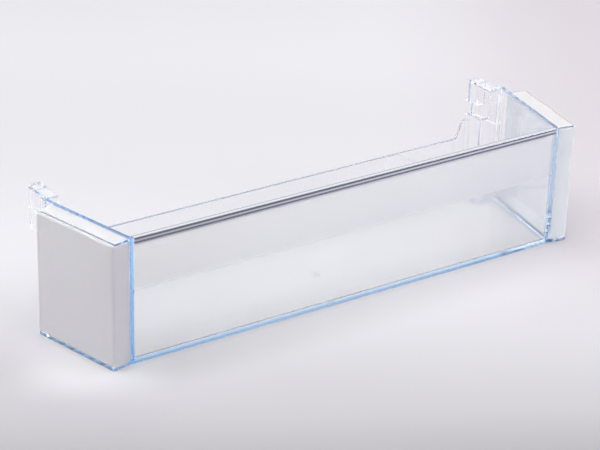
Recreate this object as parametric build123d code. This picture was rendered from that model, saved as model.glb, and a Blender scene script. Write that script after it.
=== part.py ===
from build123d import *
from math import cos, radians, sin, tan
import os

# A shelf that hangs inside a fridge door: a clear moulded tray, a bright strip along
# its front rim and a frosted cap on each end.
# Millimetres and degrees. X runs along the shelf, Y from its front panel towards the
# door, Z up. The origin is on the surface that it stands on, under the middle of its box.

# Whole shelf
rim_height = 104.0
front_width = 408.0  # over the outer faces of the side walls, at the front of the rim
depth = 126.0  # front panel at the rim to the back of the hooks
side_flare = 11.5  # each side wall opens out towards the door
side_draft = 0.6  # each side wall leans out towards the rim
front_lean = 0.6  # the front panel leans out towards the rim

# Walls of the tray
floor_wall = 3.0
front_wall = 3.0
side_wall = 3.4
back_wall = 2.4
corner_radius = 3.0  # upright corners inside the tray
floor_radius = 2.2  # around the floor, inside the tray
edge_round = 0.7  # inside of the rim, along the side walls

# Rear corners, each stepped in round a pocket for the door's boss
pocket_depth = 18.0  # wall that ends the side to the back of the low back wall
step_wall = 2.6
pocket_step = 22.1  # side wall's outer face to the pocket, across the rear of the rim
pocket_top = 78.2  # top of the wall between tray and pocket

# Low back wall, with a ramp up at each end
back_height = 57.0
shoulder_height = 72.8
shoulder_length = 3.9
ramp_run = 6.8
ramp_radius = 2.0

# Hooks, a hood over each pocket; its front is in line with the back wall
hook_reach = 11.0  # back of the low back wall to the back of the hooks
hook_set_in = 3.2  # side wall's outer face to the ear, across the rear of the rim
hook_width = 11.5
hook_wall = 2.6
ear_drop = 34.0
lip_drop = 20.0
hook_radius = 6.0

# Flanges that hold the end caps
top_flange = 1.5
bottom_flange = 3.0
top_flange_inset = 2.0  # the top flange stops this far inside the cap's face

# End caps, square to the side walls
cap_width = 16.2  # side wall's outer face to the cap's face
cap_length = 85.4  # along the side wall
cap_wall = 2.0
cap_radius = 3.0
cap_rear_radius = 1.5
cap_edge_round = 1.2
cap_clearance = 0.15

# Bright strip, a channel pressed over the front rim
strip_wall = 1.0
strip_front_height = 4.6
strip_back_height = 7.2
strip_crown = 0.6  # how far the front of the strip bows out
strip_edge_round = 0.5
strip_clearance = 0.12
strip_end_gap = 0.3

# Mark where the plastic entered the mould, under the floor
gate_depth_back = 52.0  # front panel to the mark
gate_recess_radius = 3.0
gate_recess_depth = 0.9
gate_nub_radius = 1.1
gate_nub_height = 0.6

overlap = 1.0  # how far joined forms run into each other, and cutters run past a face
touch = 0.01  # how near counts as touching
flare = radians(side_flare)
strip_proud = strip_clearance + strip_wall
cap_top = rim_height - top_flange - cap_clearance
cap_corner_y = cap_width * sin(flare) - cap_radius * (sin(flare) + cos(flare) - 1)
cap_proud = cap_corner_y - (rim_height - cap_top + cap_edge_round) * tan(radians(front_lean))
front_proud = max(strip_proud, cap_proud)  # what stands out furthest from the panel's rim
back_depth = depth - hook_reach  # front panel to the back of the low back wall
side_depth = back_depth - pocket_depth  # front panel to the wall that ends the side
front_y = front_proud - (depth + front_proud) / 2
side_y = front_y + side_depth
back_y = front_y + back_depth
hook_y = front_y + depth
rear_x = front_width / 2 + side_depth * tan(flare)  # the side wall's rear end, at the rim
pocket_x = rear_x - pocket_step
ramp_head_x = pocket_x - back_wall - shoulder_length
ramp_foot_x = ramp_head_x - ramp_run
hook_x = rear_x - hook_set_in
hook_inner_x = hook_x - hook_width


def panel_y(z):
    """Outer face of the front panel at height z."""
    return front_y + (rim_height - z) * tan(radians(front_lean))


def side_x(y, z):
    """Outer face of the right side wall at depth y and height z."""
    lean_in = (rim_height - z) * tan(radians(side_draft))
    return front_width / 2 + (y - front_y) * tan(flare) - lean_in


def between(low, high, outline):
    """Solid with flat sides between two heights, whose plan at height z is outline(z)."""
    foot = [Vector(x, y, low) for x, y in outline(low)]
    head = [Vector(x, y, high) for x, y in outline(high)]
    walls = zip(foot, foot[1:] + foot[:1], head[1:] + head[:1], head)
    faces = [Face(Wire.make_polygon(points)) for points in (foot, head, *walls)]
    return Solid(Shell(faces))


def block(low, high):
    """Box between two corners."""
    size = [b - a for a, b in zip(low, high)]
    return Location(low) * Box(*size, align=(Align.MIN, Align.MIN, Align.MIN))


def upright(solid, x, y):
    """The upright edges of a solid nearest to the plan point (x, y) and to its mirror image."""
    edges = [e for e in solid.edges() if abs(e.tangent_at(0.5).Z) > 0.9]
    right = min(edges, key=lambda e: (e.center() - Vector(x, y, e.center().Z)).length)
    left = min(edges, key=lambda e: (e.center() - Vector(-x, y, e.center().Z)).length)
    return [right, left]


def tray_outline(z, front=0.0, side=0.0, step=0.0, pocket=0.0, back=0.0):
    """Plan of the tray at height z, each wall moved in by its own amount."""
    y0 = panel_y(z) + front
    y1 = side_y - step
    x2 = pocket_x - pocket
    y2 = back_y - back
    slant = side / cos(flare)
    right = [(side_x(y0, z) - slant, y0), (side_x(y1, z) - slant, y1), (x2, y1), (x2, y2)]
    return right + [(-x, y) for x, y in reversed(right)]


def cavity_outline(z):
    """Plan of the space inside the tray at height z."""
    return tray_outline(z, front_wall, side_wall, step_wall, back_wall, back_wall)


def make_cavity():
    """The space inside the tray, with its corners and floor rounded as moulded."""
    space = between(floor_wall, rim_height + overlap, cavity_outline)
    sides = [e for e in space.edges() if abs(e.tangent_at(0.5).Z) > 0.9]
    space = fillet(sides, corner_radius)
    return fillet(space.faces().sort_by(Axis.Z)[0].edges(), floor_radius)


def make_back_cut():
    """What is cleared above the low back wall, its ramps and the walls beside the pockets."""
    top = rim_height + overlap
    inner_x = pocket_x - back_wall
    outer_x = pocket_x + overlap
    right = [
        (ramp_foot_x, back_height),
        (ramp_head_x, shoulder_height),
        (inner_x, shoulder_height),
        (inner_x, pocket_top),
        (outer_x, pocket_top),
        (outer_x, top),
    ]
    face = make_face(Polyline(*right, *[(-x, z) for x, z in reversed(right)], close=True))
    bends = [v for v in face.vertices() if abs(v.X) < inner_x - overlap]
    face = fillet(bends, ramp_radius)
    start = Plane((0, side_y, 0), x_dir=(1, 0, 0), z_dir=(0, -1, 0))
    return extrude(start * face, -(pocket_depth + overlap))


def make_hook():
    """Hood over the right pocket, a box open below, on a bridge from the stepped wall.

    Its outer side is an ear that runs from the stepped wall to the back and hangs lower.
    """
    low = rim_height - ear_drop
    lip_z = rim_height - lip_drop
    under_top = rim_height - hook_wall
    ear_x = hook_x - hook_wall
    open_x = hook_inner_x - overlap
    hood = block((hook_inner_x, side_y - step_wall, low), (hook_x, hook_y, rim_height))
    rear_edges = hood.edges().filter_by(Axis.Z).group_by(Axis.Y)[-1].sort_by(Axis.X)
    hood = fillet(rear_edges[-1], hook_radius)
    inside = block((hook_inner_x + hook_wall, back_y, low - overlap), (ear_x, hook_y - hook_wall, under_top))
    inside_edges = inside.edges().filter_by(Axis.Z).group_by(Axis.Y)[-1].sort_by(Axis.X)
    inside = fillet(inside_edges[-1], hook_radius - hook_wall)
    under_bridge = block((open_x, side_y, low - overlap), (ear_x, back_y - back_wall, under_top))
    under_front = block((open_x, side_y, low - overlap), (ear_x, back_y + overlap, lip_z))
    under_lip = block((open_x, back_y, low - overlap), (hook_x - hook_radius, hook_y + overlap, lip_z))
    hood = hood - inside - under_bridge - under_front - under_lip
    top_rear = hood.faces().sort_by(Axis.Z)[-1].edges().sort_by(Axis.Y)[-1]
    return fillet(top_rear, hook_wall / 2)


def end_outline(z, gap=0.0, front=0.0, inset=0.0):
    """Plan of the right end at height z, a rectangle between the side wall and the cap's face.

    gap leaves room beside the side wall, front moves the front side in, and inset the
    outer and rear sides.
    """
    along = Vector(sin(flare), cos(flare))
    outward = Vector(cos(flare), -sin(flare))
    y0 = panel_y(z)
    heel = Vector(side_x(y0, z), y0)
    near = outward * gap
    far = outward * (cap_width - inset)
    ahead = along * front
    behind = along * (cap_length - inset)
    corners = [near + ahead, far + ahead, far + behind, near + behind]
    return [((heel + corner).X, (heel + corner).Y) for corner in corners]


def rounded_end(solid, inset=0.0):
    """The right end's outer corners rounded, for a solid whose faces are moved in by inset."""
    sides = [e for e in solid.edges() if abs(e.tangent_at(0.5).Z) > 0.9]
    outer = sorted(sides, key=lambda e: e.center().X - side_x(e.center().Y, e.center().Z))[-2:]
    front, rear = sorted(outer, key=lambda e: e.center().Y)
    solid = fillet(front, cap_radius - inset)
    sides = [e for e in solid.edges() if abs(e.tangent_at(0.5).Z) > 0.9]
    rear = min(sides, key=lambda e: (e.center() - rear.center()).length)
    return fillet(rear, cap_rear_radius)


def make_flanges():
    """Top and bottom flange of the right end, which the cap sits between."""
    top = between(
        rim_height - top_flange, rim_height, lambda z: end_outline(z, -overlap, 0, top_flange_inset)
    )
    bottom = between(0, bottom_flange, lambda z: end_outline(z, -overlap))
    return rounded_end(top, top_flange_inset), rounded_end(bottom)


def rim_place():
    """Where the front panel's outer face meets the rim, tipped to the panel's lean."""
    return Location((0, front_y, rim_height), (front_lean, 0, 0))


def strip_half_length():
    """Half the length of the strip, which stops short of the side walls' inner faces."""
    z = rim_height - strip_front_height
    return side_x(panel_y(z), z) - side_wall / cos(flare) - strip_end_gap


def make_gate_mark():
    """Round recess under the floor, and the nub that stands in it."""
    place = Location((0, front_y + gate_depth_back, 0))
    bottom = (Align.CENTER, Align.CENTER, Align.MIN)
    recess = place * Cylinder(gate_recess_radius, gate_recess_depth, align=bottom)
    nub_place = place * Location((0, 0, gate_recess_depth - gate_nub_height))
    nub = nub_place * Cylinder(gate_nub_radius, gate_nub_height + overlap, align=bottom)
    return recess, nub


def inner_rim(tray, cavity):
    """The tray's edges at the rim that border the space inside it."""
    found = []
    for edge in tray.edges():
        middle = edge.position_at(0.5)
        at_rim = abs(middle.Z - rim_height) < touch
        if at_rim and cavity.distance_to(Vertex(*middle)) < touch:
            found.append(edge)
    return found


def make_tray():
    """The clear moulding: bin, low back wall, pockets, hooks and end flanges in one piece.

    The stepped walls stand as low as the pocket walls up to the hooks.
    """
    tray = between(0, rim_height, tray_outline)
    tray = fillet(upright(tray, pocket_x, back_y), corner_radius)
    cavity = make_cavity()
    tray -= cavity
    tray -= make_back_cut()
    notch = block(
        (pocket_x - back_wall - overlap, side_y - step_wall - overlap, pocket_top),
        (hook_inner_x, side_y + overlap, rim_height + overlap),
    )
    tray -= [notch, mirror(notch, Plane.YZ)]
    rim_cut_half = strip_half_length() + strip_end_gap
    rim_cut = block((-rim_cut_half, -overlap, -strip_wall), (rim_cut_half, front_wall + overlap, overlap))
    tray -= rim_place() * rim_cut
    hook = make_hook()
    tray += [hook, mirror(hook, Plane.YZ)]
    for flange in make_flanges():
        tray += [flange, mirror(flange, Plane.YZ)]
    recess, nub = make_gate_mark()
    tray = tray - recess + nub
    return fillet(inner_rim(tray, cavity), edge_round)


def make_end_cap():
    """Right end cap, a shell open towards the side wall."""
    low = bottom_flange + cap_clearance
    cap = rounded_end(between(low, cap_top, lambda z: end_outline(z, cap_clearance)))
    top_edges = cap.faces().sort_by(Axis.Z)[-1].edges()
    wall_side = min(top_edges, key=lambda e: e.center().X - side_x(e.center().Y, e.center().Z))
    cap = fillet([e for e in top_edges if e != wall_side], cap_edge_round)
    hollow = between(low + cap_wall, cap_top - cap_wall, lambda z: end_outline(z, -overlap, cap_wall, cap_wall))
    sides = [e for e in hollow.edges() if abs(e.tangent_at(0.5).Z) > 0.9]
    outer = sorted(sides, key=lambda e: e.center().X - side_x(e.center().Y, e.center().Z))[-2:]
    front = min(outer, key=lambda e: e.center().Y)
    return cap - fillet(front, cap_radius - cap_wall)


def make_trim_strip():
    """Channel over the front rim, with a bowed front, as long as the panel between the side walls.

    Its back leg is notched at both ends, clear of the tray's rounded corners.
    """
    inner_front = -strip_clearance
    inner_back = front_wall + strip_clearance
    front = inner_front - strip_wall
    back = inner_back + strip_wall
    bowed = Line((back, -strip_back_height), (back, 0))
    bowed += Line((back, 0), (front + strip_crown, 0))
    bowed += ThreePointArc(
        (front + strip_crown, 0),
        (front, -strip_front_height / 2),
        (front + strip_crown, -strip_front_height),
    )
    bowed += Polyline(
        (front + strip_crown, -strip_front_height),
        (inner_front, -strip_front_height),
        (inner_front, -strip_wall),
        (inner_back, -strip_wall),
        (inner_back, -strip_back_height),
        (back, -strip_back_height),
    )
    profile = make_face(bowed)
    crown = [v for v in profile.vertices() if abs(v.Y) < strip_edge_round]
    profile = fillet(crown, strip_edge_round)
    half = strip_half_length()
    strip = extrude(Plane.YZ * profile, half, both=True)
    notch = block(
        (half - corner_radius, inner_back, -strip_back_height - overlap),
        (half + overlap, back + overlap, -strip_wall),
    )
    strip -= [notch, mirror(notch, Plane.YZ)]
    return rim_place() * strip


os.makedirs("parts", exist_ok=True)
end_cap = make_end_cap()
nodes = {
    "tray": make_tray(),
    "trim_strip": make_trim_strip(),
    "end_cap_right": end_cap,
    "end_cap_left": mirror(end_cap, Plane.YZ),
}
for name, shape in nodes.items():
    export_step(shape, f"parts/{name}.step")
    print(name, len(shape.solids()), "solid", round(shape.volume / 1000, 1), "cm3", shape.bounding_box())
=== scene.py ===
# %% [markdown]
# # A fridge door shelf, dressed for a studio picture
#
# The shelf is a clear moulded tray with a bright strip along its front rim and a frosted cap on each
# end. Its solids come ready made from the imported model, at their real size, in metres, with +X along
# the shelf, +Y towards the door and +Z up. This file gives each of them its finish, then sets up the
# floor, the light and the camera.

# %% Load the fixed frame
from math import cos, radians, sin, tan

import bpy
import numpy as np
from mathutils import Matrix, Vector


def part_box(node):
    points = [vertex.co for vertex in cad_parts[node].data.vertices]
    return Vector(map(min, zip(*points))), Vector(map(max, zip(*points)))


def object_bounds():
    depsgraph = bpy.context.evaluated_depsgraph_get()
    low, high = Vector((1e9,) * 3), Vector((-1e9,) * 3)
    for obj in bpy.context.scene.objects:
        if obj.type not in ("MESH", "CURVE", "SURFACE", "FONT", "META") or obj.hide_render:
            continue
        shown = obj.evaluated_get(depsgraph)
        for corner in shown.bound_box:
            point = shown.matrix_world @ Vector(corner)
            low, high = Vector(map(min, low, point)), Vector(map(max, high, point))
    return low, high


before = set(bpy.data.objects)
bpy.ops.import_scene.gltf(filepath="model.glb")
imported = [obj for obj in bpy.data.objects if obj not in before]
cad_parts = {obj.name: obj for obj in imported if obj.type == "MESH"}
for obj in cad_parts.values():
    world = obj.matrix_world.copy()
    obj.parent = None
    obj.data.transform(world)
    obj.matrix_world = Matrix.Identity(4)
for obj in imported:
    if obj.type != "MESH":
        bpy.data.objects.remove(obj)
cad_low, cad_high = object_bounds()
MM = 0.001
print("pieces:", sorted(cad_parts), "box:", [round(v, 4) for v in (*cad_low, *cad_high)])

# %% [markdown]
# ## Places to measure from
#
# A finish that changes over a piece needs to know where things are: the rim, the front panel, the side
# walls. The rim is the top of the tray, and the strip stands a little proud of the panel that carries
# it. The side walls open out towards the door and lean out towards the rim, so a wall's outer face is a
# plane in x, y and z.

# %% Places
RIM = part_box("tray")[1].z
STRIP_PROUD = 1.12 * MM
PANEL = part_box("trim_strip")[0].y + STRIP_PROUD
HALF_FRONT = 204.0 * MM
WALL_OPENS = tan(radians(11.5))
WALL_LEANS = tan(radians(0.6))
SIDE_WALL = 3.4 * MM
print("rim height:", round(RIM, 4), "front panel at y:", round(PANEL, 5))

# %% [markdown]
# ## Shader maths as Python expressions
#
# A finish is a small graph of nodes. Wiring each one by hand hides the idea, so one class wraps an
# output socket and overloads the arithmetic operators: `1 - mask * 0.3` then adds the Math nodes by
# itself. Any other node comes from `Finish.node`, which sets the node's own options first and then its
# sockets.


# %% The two classes
class Signal:
    """One number or colour that varies over a surface: an output socket that takes part in arithmetic."""

    def __init__(self, finish, socket):
        self.finish = finish
        self.socket = socket

    def combine(self, operation, first, second):
        settings = {"operation": operation}
        return self.finish.node("ShaderNodeMath", settings, {0: first, 1: second})

    def __add__(self, other):
        return self.combine("ADD", self, other)

    def __sub__(self, other):
        return self.combine("SUBTRACT", self, other)

    def __rsub__(self, other):
        return self.combine("SUBTRACT", other, self)

    def __mul__(self, other):
        return self.combine("MULTIPLY", self, other)

    __radd__ = __add__
    __rmul__ = __mul__

    def least(self, other):
        """The smaller of two numbers."""
        return self.combine("MINIMUM", self, other)

    def size(self):
        """The number without its sign."""
        return self.combine("ABSOLUTE", self, 0.0)

    def rise(self, low, high):
        """0 up to low, 1 from high on, with a soft step between them."""
        ends = {"From Min": low, "From Max": high, "Value": self}
        return self.finish.node("ShaderNodeMapRange", {"interpolation_type": "SMOOTHSTEP"}, ends)

    def band(self, low, high, soft):
        """1 between low and high, and 0 outside, with steps as wide as soft."""
        return self.rise(low - soft / 2, low + soft / 2) * (1 - self.rise(high - soft / 2, high + soft / 2))

    def blend(self, first, second):
        """A colour that goes from first, where the number is 0, to second, where it is 1."""
        inputs = {"Factor": self, 6: first, 7: second}
        return self.finish.node("ShaderNodeMix", {"data_type": "RGBA"}, inputs, result=2)


class Finish:
    """A material under construction, with a Principled shader at its end."""

    def __init__(self, name):
        self.material = bpy.data.materials.new(name)
        self.material.use_nodes = True
        self.tree = self.material.node_tree
        self.shader = self.tree.nodes["Principled BSDF"]
        self.output = self.tree.nodes["Material Output"]

    def node(self, kind, settings=None, inputs=None, result=0):
        """Adds a node, sets its options, then its sockets, and returns one of its outputs."""
        made = self.tree.nodes.new(kind)
        for option, value in (settings or {}).items():
            setattr(made, option, value)
        for key, value in (inputs or {}).items():
            self.feed(made.inputs[key], value)
        return Signal(self, made.outputs[result])

    def feed(self, socket, value):
        """Links a signal to a socket, or sets a plain number or colour on it."""
        if isinstance(value, Signal):
            self.tree.links.new(value.socket, socket)
        else:
            socket.default_value = value

    def place(self):
        """The surface point in metres, in the shelf's own frame."""
        return self.node("ShaderNodeTexCoord", result="Object")

    def facing(self):
        """How squarely the surface faces along X, Y and Z, each from 0 to 1, whichever way it points."""
        normal = self.node("ShaderNodeNewGeometry", result="Normal")
        return [part.size() for part in self.axes(normal)]

    def axes(self, vector):
        """The three numbers of a vector."""
        split = self.node("ShaderNodeSeparateXYZ", inputs={"Vector": vector}).socket.node
        return [Signal(self, output) for output in split.outputs]

    def noise(self, scale, detail=2.0, stretch=(1.0, 1.0, 1.0)):
        """Smooth noise from 0 to 1, scale features to a metre, drawn out by the stretch of each axis."""
        shrink = [1 / length for length in stretch]
        spread = self.node("ShaderNodeMapping", inputs={"Vector": self.place(), "Scale": shrink})
        return self.node("ShaderNodeTexNoise", inputs={"Vector": spread, "Scale": scale, "Detail": detail})

    def bump(self, height, strength, distance):
        """A surface normal tilted as if the surface rose by distance where height is 1."""
        inputs = {"Strength": strength, "Distance": distance, "Height": height}
        return self.node("ShaderNodeBump", inputs=inputs)

    def surface(self, **values):
        """Sets the Principled shader's sockets, named with underscores for spaces."""
        for key, value in values.items():
            self.feed(self.shader.inputs[key.replace("_", " ")], value)
        return self


def linear(red, green, blue):
    """An sRGB colour of 0 to 255 as the linear colour that shaders take, with full alpha."""
    share = np.array([red, green, blue]) / 255
    value = np.where(share <= 0.04045, share / 12.92, ((share + 0.055) / 1.055) ** 2.4)
    return (*value.tolist(), 1.0)


# %% [markdown]
# ## Clear plastic
#
# The tray is one moulding of clear, faintly blue plastic. A wall 3 mm thick looks colourless, but light
# that has run along inside a wall comes out of its edge blue, so every edge glows. A volume that
# absorbs red would give that from any side, but a dose strong enough for the edges would also tint the
# walls. So the absorption is weak, and that edge light is painted on: the faces that end a wall carry
# the rest as a painted tint, and the bright blue ones also a faint painted glow. Each is found by where
# it is and which way it faces. Four tints are enough: bright blue for the rim and the front corners,
# slate blue for the foot and the roots of the side walls, deep blue for the fronts of the flanges, and
# grey for their sides. More light falls on the left end, so the painted tints and glow are fuller
# there and fade a little towards the right.

# %% Where the tinted edges are
SHARP = 0.2 * MM
PANEL_BACK = PANEL + 1.7 * MM
SIDE_END = PANEL + 94.4 * MM
RIM_TOP = (RIM - 1.1 * MM, RIM - 0.9 * MM)
FLANGE_EDGE = (RIM - 1.6 * MM, RIM - 1.5 * MM)
FLANGE_LIP = (-14.3 * MM, -13.5 * MM)
BACK_RIM = (51 * MM, 60 * MM)
FOOT = (0.2 * MM, 2.2 * MM)
WALL_INSIDE = (2.0 * MM, 5.0 * MM)
WALL_FOOT = (4.0 * MM, 6.6 * MM)
WALL_ROOT = (197.2 * MM, 200.6 * MM)
ROOT_RISES = (20 * MM, 80 * MM)
TO_RIGHT = (-50 * MM, 150 * MM)
print("panel back at y:", round(PANEL_BACK, 5), "side walls end at y:", round(SIDE_END, 5))


def edge_tints(finish, x, y, z):
    """How much painted edge tint a face takes, standing in for light run along inside the walls, in four
    shares: bright blue, slate blue, deep blue and grey.
    """
    along, across, flat = [part.rise(0.5, 0.7) for part in finish.facing()]
    outer_face = y * WALL_OPENS + z * WALL_LEANS + (HALF_FRONT - PANEL * WALL_OPENS - RIM * WALL_LEANS)
    depth = outer_face - x.size()
    within = depth.rise(-0.3 * MM, -0.1 * MM)
    beyond = 1 - within
    at_front = 1 - y.rise(PANEL_BACK, PANEL_BACK + SHARP)
    to_right = x.rise(*TO_RIGHT)
    # Painted light: the edge tints are fuller at the left end, where more light falls, and fade to the
    # right.
    painted_left_light = 1 - to_right * 0.4

    rim = flat * z.rise(*RIM_TOP) * within * (1 - y.rise(SIDE_END, SIDE_END + SHARP))
    corner = across * at_front * within * (1 - depth.rise(SIDE_WALL - 0.1 * MM, SIDE_WALL + 0.2 * MM))
    back_rim = flat * z.band(*BACK_RIM, 1 * MM)
    bright = (rim + corner + back_rim * 0.2).least(1.0) * painted_left_light

    foot = z.band(*FOOT, 1.0 * MM)
    towards_ends = x.size().rise(60 * MM, 190 * MM) * 0.2 + 0.8
    wall_foot = along * depth.band(*WALL_INSIDE, 0.4 * MM) * z.band(*WALL_FOOT, 0.8 * MM)
    wall_root = across * at_front * x.band(*WALL_ROOT, 0.6 * MM) * z.rise(*ROOT_RISES)
    slate = (across * foot * towards_ends + wall_foot * 0.6 + wall_root * 0.4).least(1.0)

    flange = z.rise(*FLANGE_EDGE) * beyond
    left_rim = rim * (1 - to_right) * (y.rise(0.0, 40 * MM) * 0.4 + 0.1)
    deep = (left_rim + across * painted_left_light * (flange + foot * beyond * 0.6)).least(1.0)

    lip = depth.band(*FLANGE_LIP, 0.4 * MM)
    flange_top = flange * flat * x.rise(0.0, 100 * MM) * (lip * 0.5 + 0.12)
    side_faces = along * (1 - across) * (foot + flange * 0.6)
    grey = (side_faces + flange_top + across * foot * beyond * 0.15).least(1.0)
    return bright, slate, deep, grey


# %% [markdown]
# ## The etched panel and the polish
#
# The front panel is etched from the strip down to a line about 40 mm below it: there the polish is
# broken, which only needs a higher roughness, and its colour is a little greyer towards the left. Below
# the band the panel keeps a light haze that softens what shows through it, and clears towards the right
# end. The upright rounded edges of the rear corners are dulled and lifted a little with a faint painted
# glow, because on a real moulding they hardly show. Elsewhere faint flow marks from the mould keep the
# polish from being perfect.

# %% Clear plastic
ETCHED_LOW = (59 * MM, 66 * MM)
PANEL_HALF = 200.0 * MM
VEIL_FADES = (-220 * MM, 20 * MM)
HAZE_CLEARS = (155 * MM, 175 * MM)
REAR_EDGES = (28 * MM, 40 * MM)
NO_TINT = (1.0, 1.0, 1.0, 1.0)
NO_GLOW = (0.0, 0.0, 0.0, 1.0)


def clear_plastic():
    """Polished clear plastic with an etched band and a hazy panel at the front, blue at its edges."""
    finish = Finish("clear_plastic")
    x, y, z = finish.axes(finish.place())
    along, across, _ = finish.facing()
    between_corners = 1 - x.size().rise(PANEL_HALF - SHARP, PANEL_HALF + SHARP)
    panel = (1 - y.rise(PANEL_BACK, PANEL_BACK + SHARP)) * between_corners
    etched = panel * z.rise(*ETCHED_LOW)
    # A thin grey tint on the etched band, greyer towards the left.
    greyer_left = etched * (1 - x.rise(*VEIL_FADES))
    haze = panel * (1 - x.rise(*HAZE_CLEARS) * 0.6)
    slanting = along.band(0.3, 0.95, 0.1) * across.band(0.3, 0.95, 0.1)
    rounded = slanting * y.band(*REAR_EDGES, 2 * MM)
    flow = finish.noise(60.0, stretch=(4.0, 1.0, 1.0))
    to_right = x.rise(*TO_RIGHT)
    bright, slate, deep, grey = edge_tints(finish, x, y, z)

    tint = greyer_left.blend(NO_TINT, (0.88, 0.86, 0.85, 1.0))
    # Painted tints for the light that runs along inside the walls and leaves at their edges.
    tint = bright.blend(tint, to_right.blend((0.19, 0.44, 0.86, 1.0), (0.22, 0.36, 0.66, 1.0)))
    tint = slate.blend(tint, (0.15, 0.31, 0.52, 1.0))
    tint = deep.blend(tint, (0.03, 0.09, 0.27, 1.0))
    tint = grey.blend(tint, (0.58, 0.38, 0.22, 1.0))
    # Painted glow: the bright blue edges emit a little blue light, fading towards the right, and the
    # rounded rear edges a faint pale light.
    painted_edge_glow = to_right.blend((0.006, 0.040, 0.110, 1.0), (0.004, 0.018, 0.045, 1.0))
    painted_glow = rounded.blend(bright.blend(NO_GLOW, painted_edge_glow), (0.12, 0.10, 0.085, 1.0))
    finish.surface(
        Base_Color=tint,
        Emission_Color=painted_glow,
        Emission_Strength=1.0,
        Roughness=haze * 0.16 + etched * 0.34 + rounded * 0.35 + flow * 0.03 + 0.005,
        IOR=1.5,
        Transmission_Weight=1.0,
    )
    absorption = finish.node(
        "ShaderNodeVolumeAbsorption", inputs={"Color": (0.10, 0.55, 0.94, 1.0), "Density": 3.2}
    )
    finish.tree.links.new(absorption.socket, finish.output.inputs["Volume"])
    return finish.material


clear_finish = clear_plastic()
print(clear_finish.name, "has", len(clear_finish.node_tree.nodes), "nodes")

# %% [markdown]
# ## Frosted caps
#
# The caps are a milky, translucent plastic with a fine satin grain, bright where light comes through
# them. A plain white would look like paint. Half of the light passes through the rough surface and is
# spread, as in ground glass, and the rest is scattered inside the wall, as in milk glass. The right cap
# stands against the light, and the left one is seen from its shaded side. The lamps alone give less of
# a difference than a real studio does, so light and shade are painted into the colour: painted light
# makes it paler towards the right, with a faint painted glow there, and paler towards the rim, where
# light falls from above, and painted shade makes the front of the left cap a little darker.


# %% Frosted caps
def cap_plastic():
    """Milky white plastic with a satin grain, with painted light making it paler at the right end and
    towards the rim.
    """
    finish = Finish("cap_plastic")
    x, _, z = finish.axes(finish.place())
    grain = finish.noise(2500.0, detail=3.0)
    cloud = finish.noise(25.0)
    # Painted light at the right end and towards the rim, painted shade on the left cap's front; the cloud
    # is a random tone.
    painted_lit_right = x.rise(-100 * MM, 100 * MM)
    painted_shade_left_front = finish.facing()[1].rise(0.5, 0.9) * (1 - painted_lit_right)
    painted_light_and_cloud = painted_lit_right * 0.45 + z.rise(0.0, RIM) * 0.1 + cloud * 0.05 + 0.4 - painted_shade_left_front * 0.4
    finish.surface(
        Base_Color=painted_light_and_cloud.blend(linear(240, 237, 243), linear(254, 253, 255)),
        Emission_Color=painted_lit_right.blend(NO_GLOW, (0.013, 0.021, 0.030, 1.0)),
        Emission_Strength=1.0,
        Roughness=grain * 0.10 + 0.55,
        IOR=1.4,
        Transmission_Weight=0.5,
        Subsurface_Weight=1.0,
        Subsurface_Radius=(1.0, 1.0, 1.0),
        Subsurface_Scale=6 * MM,
        Normal=finish.bump(grain, 0.08, 0.05 * MM),
    )
    return finish.material


cap_finish = cap_plastic()
print(cap_finish.name, "has", len(cap_finish.node_tree.nodes), "nodes")

# %% [markdown]
# ## Bright strip
#
# The strip is thin bright metal, drawn through a die, so fine lines run along it. Its bowed front
# mirrors the dark side of the room above a bright floor. Two darker lines are painted on its front: a
# painted reflection of the dark room below the top edge and a painted shadow along the lower edge, with
# a narrow light line left between them. Its top is light in front and grey with painted shade behind.
# A perfect mirror would turn black wherever the room is dark, so a quarter of the metal is left dull.

# %% Bright strip
STRIP_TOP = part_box("trim_strip")[1].z
STRIP_MIDDLE = (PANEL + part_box("trim_strip")[1].y) / 2
UPPER_PAINTED_REFLECTION = (STRIP_TOP - 1.6 * MM, STRIP_TOP - 0.5 * MM)
LOWER_PAINTED_SHADOW = (STRIP_TOP - 5.0 * MM, STRIP_TOP - 2.9 * MM)


def bright_strip():
    """Bright metal with a drawn grain along the strip, two painted dark lines on its front and painted
    shade at the back of its top.
    """
    finish = Finish("bright_strip")
    _, y, z = finish.axes(finish.place())
    grain = finish.noise(3000.0, stretch=(40.0, 1.0, 1.0))
    front = 1 - finish.facing()[2].rise(0.85, 0.95)
    # Painted reflection of the dark room in the upper line, painted shadow in the lower line, painted shade
    # on the back of the top.
    painted_lines = z.band(*UPPER_PAINTED_REFLECTION, 0.5 * MM) * 0.6 + z.band(*LOWER_PAINTED_SHADOW, 0.6 * MM)
    painted_dark = (painted_lines * front).least(1.0)
    painted_shade_back = y.rise(STRIP_MIDDLE - 0.4 * MM, STRIP_MIDDLE + 0.4 * MM)
    top = painted_shade_back.blend(linear(210, 213, 221), linear(176, 179, 187))
    face = front.blend(top, linear(223, 227, 236))
    finish.surface(
        Base_Color=painted_dark.blend(face, linear(118, 120, 140)),
        Metallic=0.75,
        Roughness=grain * 0.08 + 0.10,
        Normal=finish.bump(grain, 0.05, 0.02 * MM),
    )
    return finish.material


strip_finish = bright_strip()
print(strip_finish.name, "has", len(strip_finish.node_tree.nodes), "nodes")

# %% [markdown]
# ## Dressing the solids
#
# The solids keep their meshes, which already have the real shapes. Each only trades its plain material
# for one of the three finishes, and both caps share one.

# %% Dress the solids
finishes = {
    "tray": clear_finish,
    "trim_strip": strip_finish,
    "end_cap_right": cap_finish,
    "end_cap_left": cap_finish,
}
for name, material in finishes.items():
    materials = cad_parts[name].data.materials
    materials.clear()
    materials.append(material)
    print(name, "is", material.name)

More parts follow.
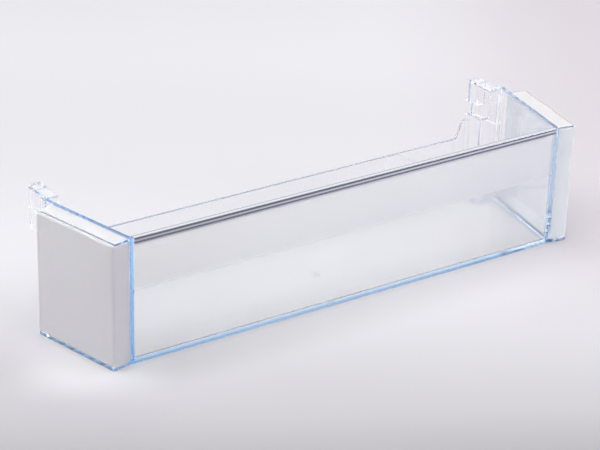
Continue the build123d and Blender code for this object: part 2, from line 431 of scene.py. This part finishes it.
# %% [markdown]
# ## Floor
#
# The shelf stands on a wide, plain, pale board that runs out of the picture on every side. A real board
# in a corner of a studio is never lit evenly, so its light and shade are painted into its colour:
# painted shade falls off towards the viewer and, faintly pink, towards the far right, and dips a little
# behind the shelf, and painted light makes it brighter under the clear tray and in a pool by the left
# cap. Lamps that did all this would also shade the shelf, so the board carries these painted tones
# itself. They are laid out along the camera's view, as `away` from the viewer and `aside` to the right,
# in metres.

# %% Floor
AHEAD = radians(35.292)
FLOOR_HALF = 6.0
FLOOR_DROP = 0.3 * MM


def sheet_mesh(name, half):
    """A flat square grid at height zero: x and y each run from -half to half."""
    steps = np.linspace(-half, half, 3)
    x, y = np.meshgrid(steps, steps, indexing="ij")
    points = np.stack([x, y, np.zeros_like(x)], -1).reshape(-1, 3)
    corner = (np.arange(2)[:, None] * 3 + np.arange(2)).ravel()
    faces = np.stack([corner, corner + 3, corner + 4, corner + 1], -1)
    mesh = bpy.data.meshes.new(name)
    mesh.from_pydata(points.tolist(), [], faces.tolist())
    made = bpy.data.objects.new(name, mesh)
    bpy.context.scene.collection.objects.link(made)
    return made


def pale_floor():
    """Smooth pale board, nearly matte, with the studio's uneven light and shade painted into its tone."""
    finish = Finish("pale_floor")
    x, y, _ = finish.axes(finish.place())
    away = x * sin(AHEAD) + y * cos(AHEAD)
    aside = x * cos(AHEAD) - y * sin(AHEAD)
    # Painted light and shade: fall-off towards the viewer, a dip behind the shelf, pink shade at the far
    # right, and light under the tray and in a pool by the left cap.
    painted_dip = away.band(0.12, 0.42, 0.2) * 0.6
    painted_falloff_near = 1 - (away - aside * 0.1).rise(-0.32, -0.23)
    painted_pool = away.band(-0.205, -0.10, 0.06) * aside.band(-0.20, -0.12, 0.06)
    under_tray = (1 - x.size().rise(0.19, 0.21)) * y.band(-0.055, 0.05, 0.02)
    painted_light_under = under_tray * (x.rise(-0.15, 0.15) * 0.5 + 0.15)
    painted_shade_far_right = aside.rise(0.05, 0.30) * away.rise(-0.15, 0.10)

    painted_tone = away.rise(-0.40, 0.05).blend(linear(169, 167, 172), linear(209, 208, 213))
    painted_tone = painted_dip.blend(painted_tone, linear(200, 199, 204))
    painted_tone = painted_falloff_near.blend(painted_tone, linear(166, 163, 168))
    painted_tone = painted_pool.blend(painted_tone, linear(211, 210, 214))
    painted_tone = painted_light_under.blend(painted_tone, linear(222, 221, 226))
    painted_tone = painted_shade_far_right.blend(painted_tone, linear(194, 187, 194))
    fibres = finish.noise(900.0)
    finish.surface(
        Base_Color=painted_tone,
        Roughness=fibres * 0.1 + 0.5,
        Normal=finish.bump(fibres, 0.03, 0.05 * MM),
    )
    return finish.material


floor = sheet_mesh("floor", FLOOR_HALF)
floor.location.z = -FLOOR_DROP
floor.data.materials.append(pale_floor())
print("floor:", len(floor.data.polygons), "faces")

# %% [markdown]
# ## Light
#
# A clear object shows what surrounds it, so the studio is bright nearly all round: a large soft light
# above, a bright backdrop behind, one light at the left back, two on the right and a weak, low one in
# front. Only the part of the room that the strip mirrors, in front and a little to the right, is left
# dark, because its dark lines come from there. The backdrop is there to be seen through the plastic. It
# casts no shadow, which would fall towards the viewer, where a wide lit wall leaves none.


# %% Light
def soft_light(name, place, target, size, power, shadow=True):
    """A rectangular area light of a given width and height that faces a point."""
    data = bpy.data.lights.new(name, "AREA")
    data.shape = "RECTANGLE"
    data.size, data.size_y = size
    data.energy = power
    data.use_shadow = shadow
    light = bpy.data.objects.new(name, data)
    light.location = place
    light.rotation_euler = (Vector(target) - Vector(place)).to_track_quat("-Z", "Y").to_euler()
    light.visible_camera = False
    bpy.context.scene.collection.objects.link(light)
    return light


middle = (cad_low + cad_high) / 2
soft_light("overhead", (-0.4, 0.0, 1.6), middle, (1.4, 1.4), 24.8)
soft_light("backdrop", (0.4, 1.5, 0.85), middle, (2.6, 1.3), 10.4, shadow=False)
soft_light("left back", (-1.2, 0.7, 0.7), middle, (1.2, 1.0), 7.0)
soft_light("right front", (1.3, -0.6, 0.6), middle, (1.0, 0.9), 12.0)
soft_light("right side", (1.4, 0.1, 0.5), middle, (1.0, 0.8), 6.0)
soft_light("low front", (-0.2, -1.6, 0.45), middle, (1.0, 0.6), 1.0)

world = bpy.data.worlds.new("studio")
world.use_nodes = True
world.node_tree.nodes["Background"].inputs["Color"].default_value = (0.98, 0.97, 1.0, 1.0)
world.node_tree.nodes["Background"].inputs["Strength"].default_value = 0.18
bpy.context.scene.world = world
print("lights:", sorted(light.name for light in bpy.data.lights))

# %% [markdown]
# ## Camera
#
# The camera stands in front of the shelf's left end, well above it, with a long lens. Its place and
# angles were fitted to the shelf's edges, so that they fall where the photograph has them.

# %% Camera
eye = Vector((-982.5 * MM, PANEL - 1313.36 * MM, 816.6 * MM))
elevation, roll = radians(24.641), radians(1.469)
lens = 139.1

ahead = Vector((sin(AHEAD) * cos(elevation), cos(AHEAD) * cos(elevation), -sin(elevation)))
level = ahead.cross(Vector((0, 0, 1))).normalized()
upward = level.cross(ahead)
right = level * cos(roll) + upward * sin(roll)
top = right.cross(ahead)

camera_data = bpy.data.cameras.new("camera")
camera_data.lens = lens
camera_data.sensor_width = 36
camera_data.clip_end = 100
camera = bpy.data.objects.new("camera", camera_data)
turn = Matrix((right, top, -ahead)).transposed()
camera.matrix_world = Matrix.Translation(eye) @ turn.to_4x4()
bpy.context.scene.collection.objects.link(camera)
bpy.context.scene.camera = camera
print("camera at", [round(v, 4) for v in eye])

# %% [markdown]
# ## How light is followed
#
# Inside a clear wall a ray is reflected many times before it finds its way out, so the limits on
# bounces are raised. The plain Standard view keeps the pale tones as they are lit.

# %% Light paths and view
cycles = bpy.context.scene.cycles
cycles.max_bounces = 128
cycles.transmission_bounces = 128
cycles.glossy_bounces = 128
cycles.caustics_refractive = True
cycles.caustics_reflective = True
cycles.blur_glossy = 0.3
cycles.use_denoising = True
bpy.context.scene.view_settings.view_transform = "Standard"
print("bounces:", cycles.max_bounces)
